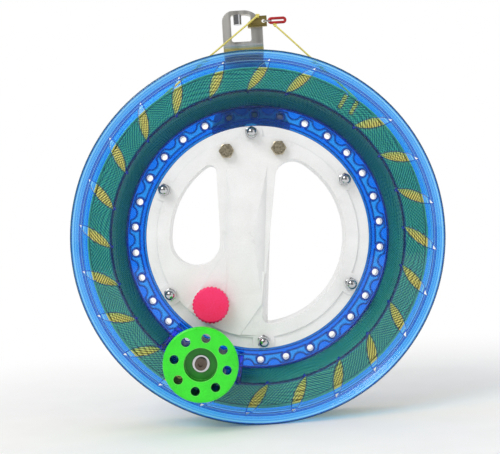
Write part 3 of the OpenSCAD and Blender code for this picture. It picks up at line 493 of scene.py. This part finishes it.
def moulded_plastic(name, deep, pale, edge_wear_and_highlight, roughness, grain_mm, grain_height_mm,
                    edge_mm=0.35, painted_hollow_shade=None):
    """An opaque moulded plastic: mottled between two near colours, with a fine grain and soft, paler edges,
    partly wear and partly painted highlight.

    Where a hollow shade colour is given, holes and recesses are painted with shade toward it.
    """
    material, tree, output, place = new_finish(name)
    mottle = add(tree, "ShaderNodeTexNoise", {"Vector": place, "Scale": per(MOTTLE_SIZE), "Detail": 3.0})
    grain = add(tree, "ShaderNodeTexNoise", {"Vector": place, "Scale": per(grain_mm), "Detail": 4.0})
    tone = add(tree, "ShaderNodeMix", {0: 0.5, 2: mottle.outputs["Fac"], 3: grain.outputs["Fac"]})
    tone = add(tree, "ShaderNodeMapRange", {"Value": tone.outputs[0], "From Min": 0.35, "From Max": 0.65})
    colour = add(tree, "ShaderNodeMix", {0: tone.outputs["Result"], 6: linear(deep), 7: linear(pale)},
                 data_type="RGBA")
    # Painted shade in holes and recesses, by how closed in they are.
    if painted_hollow_shade:
        open_sky = add(tree, "ShaderNodeAmbientOcclusion", {"Distance": HOLLOW_REACH * MM}, samples=8)
        shaded = add(tree, "ShaderNodeMapRange", {
            "Value": open_sky.outputs["AO"], "From Min": 0.95, "From Max": 0.4})
        colour = add(tree, "ShaderNodeMix", {
            0: shaded.outputs["Result"], 6: colour.outputs[2], 7: linear(painted_hollow_shade)}, data_type="RGBA")
    polish = add(tree, "ShaderNodeMapRange", {
        "Value": mottle.outputs["Fac"], "From Min": 0.3, "From Max": 0.7,
        "To Min": roughness - 0.06, "To Max": roughness + 0.06,
    })
    edge = add(tree, "ShaderNodeBevel", {"Radius": edge_mm * MM}, samples=4)
    # Paler edges: partly wear, partly painted highlight.
    colour = add(tree, "ShaderNodeMix", {0: edge_mask(tree, edge), 6: colour.outputs[2], 7: linear(edge_wear_and_highlight)},
                 data_type="RGBA")
    bump = add(tree, "ShaderNodeBump", {
        "Height": grain.outputs["Fac"], "Strength": 0.5, "Distance": grain_height_mm * MM,
        "Normal": edge.outputs["Normal"],
    })
    body = add(tree, "ShaderNodeBsdfPrincipled", {
        "Base Color": colour.outputs[2], "Roughness": polish.outputs["Result"], "IOR": 1.53,
        "Normal": bump.outputs["Normal"],
    })
    tree.links.new(body.outputs["BSDF"], output.inputs["Surface"])
    return material


# Share of its rate of change that a streak keeps along its own direction.
STREAK_STRETCH = 0.06


def worked_metal(name, deep, pale, edge_wear_and_highlight, roughness, streak_mm, streak_axis,
                 edge_mm=0.15, streak_height_mm=0.02):
    """A metal with the fine streaks of its working along one axis, and softened edges rubbed bright, partly
    wear and partly painted highlight.
    """
    material, tree, output, place = new_finish(name)
    stretch = [1.0, 1.0, 1.0]
    stretch[streak_axis] = STREAK_STRETCH
    lay = add(tree, "ShaderNodeMapping", {"Vector": place, "Scale": stretch})
    streak = add(tree, "ShaderNodeTexNoise",
                 {"Vector": lay.outputs["Vector"], "Scale": per(streak_mm), "Detail": 4.0})
    colour = add(tree, "ShaderNodeMix", {0: streak.outputs["Fac"], 6: linear(deep), 7: linear(pale)},
                 data_type="RGBA")
    polish = add(tree, "ShaderNodeMapRange", {
        "Value": streak.outputs["Fac"], "From Min": 0.3, "From Max": 0.7,
        "To Min": roughness * 0.75, "To Max": roughness * 1.25,
    })
    edge = add(tree, "ShaderNodeBevel", {"Radius": edge_mm * MM}, samples=4)
    # Brighter edges: partly wear, partly painted highlight.
    colour = add(tree, "ShaderNodeMix", {0: edge_mask(tree, edge), 6: colour.outputs[2], 7: linear(edge_wear_and_highlight)},
                 data_type="RGBA")
    bump = add(tree, "ShaderNodeBump", {
        "Height": streak.outputs["Fac"], "Strength": 0.3, "Distance": streak_height_mm * MM,
        "Normal": edge.outputs["Normal"],
    })
    body = add(tree, "ShaderNodeBsdfPrincipled", {
        "Base Color": colour.outputs[2], "Roughness": polish.outputs["Result"], "Metallic": 1.0,
        "Normal": bump.outputs["Normal"],
    })
    tree.links.new(body.outputs["BSDF"], output.inputs["Surface"])
    return material


# Scale at which a wave texture repeats once in each unit of its coordinate.
WAVE_PERIOD = 2 * math.pi / 20


def crossing_threads(name, pitch_mm, slant, patch_mm, deep, pale, height_mm):
    """Polyester threads that lie at plus or minus a slant, patch by patch, with a soft sheen.

    A piece with the attribute "low" gets painted shade between its strands too.
    """
    material, tree, output, place = new_finish(name)
    uv = add(tree, "ShaderNodeTexCoord").outputs["UV"]
    waves = []
    for lean in (slant, -slant):
        lay = add(tree, "ShaderNodeMapping", {
            "Vector": uv, "Rotation": (0.0, 0.0, lean), "Scale": (per(pitch_mm), per(pitch_mm), 1.0)})
        waves.append(add(tree, "ShaderNodeTexWave", {
            "Vector": lay.outputs["Vector"], "Scale": WAVE_PERIOD, "Distortion": 0.6}, bands_direction="X"))
    patch = add(tree, "ShaderNodeTexNoise", {"Vector": place, "Scale": per(patch_mm), "Detail": 1.0})
    choice = add(tree, "ShaderNodeMapRange", {
        "Value": patch.outputs["Fac"], "From Min": 0.42, "From Max": 0.58})
    weave = add(tree, "ShaderNodeMix", {
        0: choice.outputs["Result"], 2: waves[0].outputs["Fac"], 3: waves[1].outputs["Fac"]})
    weave = weave.outputs[0]
    # Painted shade between the strands, where "low" is 1.
    low = add(tree, "ShaderNodeAttribute", attribute_name="low")
    shade = add(tree, "ShaderNodeMath", {0: weave, 1: low.outputs["Fac"]}, operation="SUBTRACT")
    tone = add(tree, "ShaderNodeMapRange", {
        "Value": shade.outputs["Value"], "From Min": -0.2, "From Max": 0.9})
    colour = add(tree, "ShaderNodeMix", {0: tone.outputs["Result"], 6: linear(deep), 7: linear(pale)},
                 data_type="RGBA")
    bump = add(tree, "ShaderNodeBump",
               {"Height": weave, "Strength": 0.6, "Distance": height_mm * MM})
    body = add(tree, "ShaderNodeBsdfPrincipled", {
        "Base Color": colour.outputs[2], "Roughness": 0.6, "Sheen Weight": 0.2,
        "Normal": bump.outputs["Normal"],
    })
    tree.links.new(body.outputs["BSDF"], output.inputs["Surface"])
    return material


ALONG_X, ALONG_Y, ALONG_Z = 0, 1, 2
clear_blue = clear_blue_polycarbonate()

# Plastics: deep and pale colours, the edges' colour of wear and painted highlight, roughness, then the
# width and the height of the grain.
# Moulded ABS has an even colour and a soft shine.
white_abs = moulded_plastic("white_ABS_moulded", "#e6e6e5", "#f2f2f1", "#f8f8f7", 0.32, 0.6, 0.02)
# Green ABS gets painted shade of #08900f in its holes and recess.
green_abs = moulded_plastic(
    "green_ABS_moulded", "#22d01c", "#3af228", "#9dff86", 0.3, 0.5, 0.02, edge_mm=0.6, painted_hollow_shade="#08900f")
# A spark-eroded mould leaves a coarse grain, which breaks up the shine.
pink_abs = moulded_plastic("pink_ABS_spark_grained", "#fc0a54", "#ff2c74", "#ff5c8a", 0.42, 1.1, 0.25)
# Acetal looks waxy, rubber dull and near black, and a coated cord smooth.
grey_acetal = moulded_plastic("grey_acetal_moulded", "#6d7075", "#84878c", "#9ea1a5", 0.4, 0.5, 0.02)
black_rubber = moulded_plastic("black_rubber_moulded", "#1b1b1c", "#2b2b2c", "#3c3c3d", 0.75, 0.4, 0.05)
red_cord = moulded_plastic("red_cord_coated", "#a30d14", "#d0161d", "#dd3038", 0.35, 0.4, 0.03, edge_mm=0.1)

# Metals: deep and pale colours, the edges' colour of wear and painted highlight, roughness, then the width
# and the direction of the streaks.
# Chrome is a mirror, zinc pale and soft, nickel warm, and black oxide a dull brown.
chrome_plate = worked_metal("steel_chrome_plated", "#b6b7ba", "#d4d5d7", "#eeeff0", 0.06, 3, ALONG_Y)
zinc_plate = worked_metal("steel_zinc_plated", "#b4b3ac", "#d2d1ca", "#e6e5df", 0.28, 1.2, ALONG_Y)
nickel_plate = worked_metal("steel_nickel_plated", "#a3967c", "#ddd2b8", "#fbf3e0", 0.3, 1.2, ALONG_Y)
dark_steel = worked_metal("steel_black_oxide", "#5a5048", "#7d7268", "#a3988c", 0.32, 0.8, ALONG_Y)
# Ground steel and turned brass keep the fine marks of the tool.
ground_steel = worked_metal("bearing_steel_ground", "#9a9ca0", "#c8cacd", "#e2e4e6", 0.2, 0.6, ALONG_Y)
brass = worked_metal("brass_turned", "#b48a3c", "#d9b15c", "#f0d492", 0.25, 0.8, ALONG_Y)
# The sheet has shallow waves, and its colour is painted with light and dark patches of reflection.
guide_steel = worked_metal(
    "guide_steel_wavy_painted_reflection", "#a09d96", "#fdfbf5", "#f6f5f2", 0.45, 7, ALONG_Z,
    edge_mm=0.4, streak_height_mm=1.2)
# Stamped brass is dull, with bright edges, partly wear and partly painted highlight.
clip_brass = worked_metal("clip_brass_stamped", "#8f7c40", "#c9b878", "#f0e4b0", 0.35, 1.0, ALONG_X)

# Line: pitch and slant of the threads, size of a patch, deep and pale colours, height of a thread.
# The threads of its braid are too fine to show, so both are drawn coarser.
braided_line = crossing_threads(
    "polyester_line_braided", 0.9, math.radians(60), 0.5, "#bfa93a", "#f7ec86", 0.08)
wound_line = crossing_threads(
    "polyester_line_wound", 1.3, math.radians(42), 22, "#5c4e08", "#fff07a", 0.25)

FINISHES = {
    clear_blue: ["drum_front", "drum_rear"],
    white_abs: ["hub_front", "hub_rear"],
    green_abs: ["winding_knob"],
    pink_abs: ["brake_knob"],
    grey_acetal: ["brake_shoe"],
    black_rubber: ["brake_pad"],
    chrome_plate: ["dome_nuts", "clip_ring", "guide_post", "knob_washer"],
    zinc_plate: ["hub_bolts", "knob_sleeve", "brake_spindle"],
    nickel_plate: ["guide_bolts", "guide_nuts"],
    dark_steel: ["knob_screw"],
    ground_steel: ["bearing_inner_rings", *[f"bearing_{i}" for i in range(1, 7)]],
    brass: ["knob_insert", "brake_cam"],
    guide_steel: ["guide_arm"],
    clip_brass: ["clip_hook"],
    red_cord: ["clip_loop"],
}
for finish, names in FINISHES.items():
    for name in names:
        NODES[name].data.materials.clear()
        NODES[name].data.materials.append(finish)
wound[0].data.materials.append(wound_line)
for piece in wound[1:] + knots + free_lines:
    piece.data.materials.append(braided_line)


# Studio

FLOOR_Z = cad_box[0][2]
FLOOR_HALF_W = 3.0
# Distance from the reel's middle over which the floor turns white.
FADE_FROM, FADE_TO = 0.16, 0.5
PAPER_GRAIN = 30
WHITE = linear("#ffffff")
# Light of the room from below and from above, and the share of it that is mirrored.
ROOM_LOW, ROOM_HIGH = 0.28, 0.8
MIRRORED_SHARE = 0.36


def studio_world():
    """White to the camera, through clear plastic and mirrored from behind the reel; else a grey room."""
    world = bpy.data.worlds.new("studio")
    world.use_nodes = True
    tree = world.node_tree
    tree.nodes.clear()
    rays = add(tree, "ShaderNodeLightPath")
    direction = add(tree, "ShaderNodeTexCoord").outputs["Generated"]
    parts = add(tree, "ShaderNodeSeparateXYZ", {"Vector": direction})

    # Which rays meet the white backdrop.
    behind = add(tree, "ShaderNodeMapRange", {
        "Value": parts.outputs["Y"], "From Min": 0.0, "From Max": 0.6}, interpolation_type="SMOOTHSTEP")
    mirrored = add(tree, "ShaderNodeMath", {
        0: rays.outputs["Is Glossy Ray"], 1: behind.outputs["Result"]}, operation="MULTIPLY")
    seen = add(tree, "ShaderNodeMath", {
        0: rays.outputs["Is Camera Ray"], 1: rays.outputs["Is Transmission Ray"]}, operation="MAXIMUM")
    seen = add(tree, "ShaderNodeMath", {
        0: seen.outputs["Value"], 1: mirrored.outputs["Value"]}, operation="MAXIMUM")

    # How bright the room is for the other rays.
    room = add(tree, "ShaderNodeMapRange", {
        "Value": parts.outputs["Z"], "From Min": -0.6, "From Max": 0.7,
        "To Min": ROOM_LOW, "To Max": ROOM_HIGH,
    })
    dimming = add(tree, "ShaderNodeMapRange", {
        "Value": rays.outputs["Is Glossy Ray"], "To Min": 1.0, "To Max": MIRRORED_SHARE})
    room = add(tree, "ShaderNodeMath", {
        0: room.outputs["Result"], 1: dimming.outputs["Result"]}, operation="MULTIPLY")

    backdrop = add(tree, "ShaderNodeBackground", {"Color": WHITE, "Strength": 1.0})
    light = add(tree, "ShaderNodeBackground", {"Color": WHITE, "Strength": room.outputs["Value"]})
    mixed = add(tree, "ShaderNodeMixShader", {
        0: seen.outputs["Value"], 1: light.outputs["Background"], 2: backdrop.outputs["Background"]})
    output = add(tree, "ShaderNodeOutputWorld")
    tree.links.new(mixed.outputs["Shader"], output.inputs["Surface"])
    SCENE.world = world


def floor():
    """A square of pale paper that keeps the reel's shadow, and turns white away from it.

    Through clear plastic it is white everywhere.
    """
    square = np.array([[-1, -1], [1, -1], [1, 1], [-1, 1]]) * FLOOR_HALF_W
    points = np.column_stack([square, np.full(len(square), FLOOR_Z)])
    piece = new_piece("floor", points, [[0, 1, 2, 3]])
    material, tree, output, place = new_finish("floor_paper_pale")
    spread = add(tree, "ShaderNodeVectorMath", {0: place}, operation="LENGTH")
    far = add(tree, "ShaderNodeMapRange", {
        "Value": spread.outputs["Value"], "From Min": FADE_FROM, "From Max": FADE_TO},
        interpolation_type="SMOOTHSTEP")
    rays = add(tree, "ShaderNodeLightPath")
    seen = add(tree, "ShaderNodeMath", {
        0: rays.outputs["Is Camera Ray"], 1: rays.outputs["Is Glossy Ray"]}, operation="MAXIMUM")
    faded = add(tree, "ShaderNodeMath", {
        0: seen.outputs["Value"], 1: far.outputs["Result"]}, operation="MULTIPLY")
    faded = add(tree, "ShaderNodeMath", {
        0: faded.outputs["Value"], 1: rays.outputs["Is Transmission Ray"]}, operation="MAXIMUM")
    grain = add(tree, "ShaderNodeTexNoise", {"Vector": place, "Scale": per(PAPER_GRAIN)})
    colour = add(tree, "ShaderNodeMix", {
        0: grain.outputs["Fac"], 6: linear("#f4f4f3"), 7: linear("#fafaf9")}, data_type="RGBA")
    paper = add(tree, "ShaderNodeBsdfDiffuse", {"Color": colour.outputs[2]})
    white = add(tree, "ShaderNodeEmission", {"Color": WHITE, "Strength": 1.0})
    mixed = add(tree, "ShaderNodeMixShader", {
        0: faded.outputs["Value"], 1: paper.outputs["BSDF"], 2: white.outputs["Emission"]})
    tree.links.new(mixed.outputs["Shader"], output.inputs["Surface"])
    piece.data.materials.append(material)


def softbox(name, place, width, watts):
    """A square soft light aimed at the reel's middle, with its place and width in metres."""
    data = bpy.data.lights.new(name, "AREA")
    data.size = width
    data.energy = watts
    lamp = bpy.data.objects.new(name, data)
    SCENE.collection.objects.link(lamp)
    lamp.location = place
    toward = -lamp.location
    lamp.rotation_euler = toward.to_track_quat("-Z", "Y").to_euler()


studio_world()
floor()
softbox("key_light", (-0.7, -0.9, 1.0), 0.7, 8)
softbox("fill_light", (0.9, -0.8, 0.4), 0.8, 1.5)
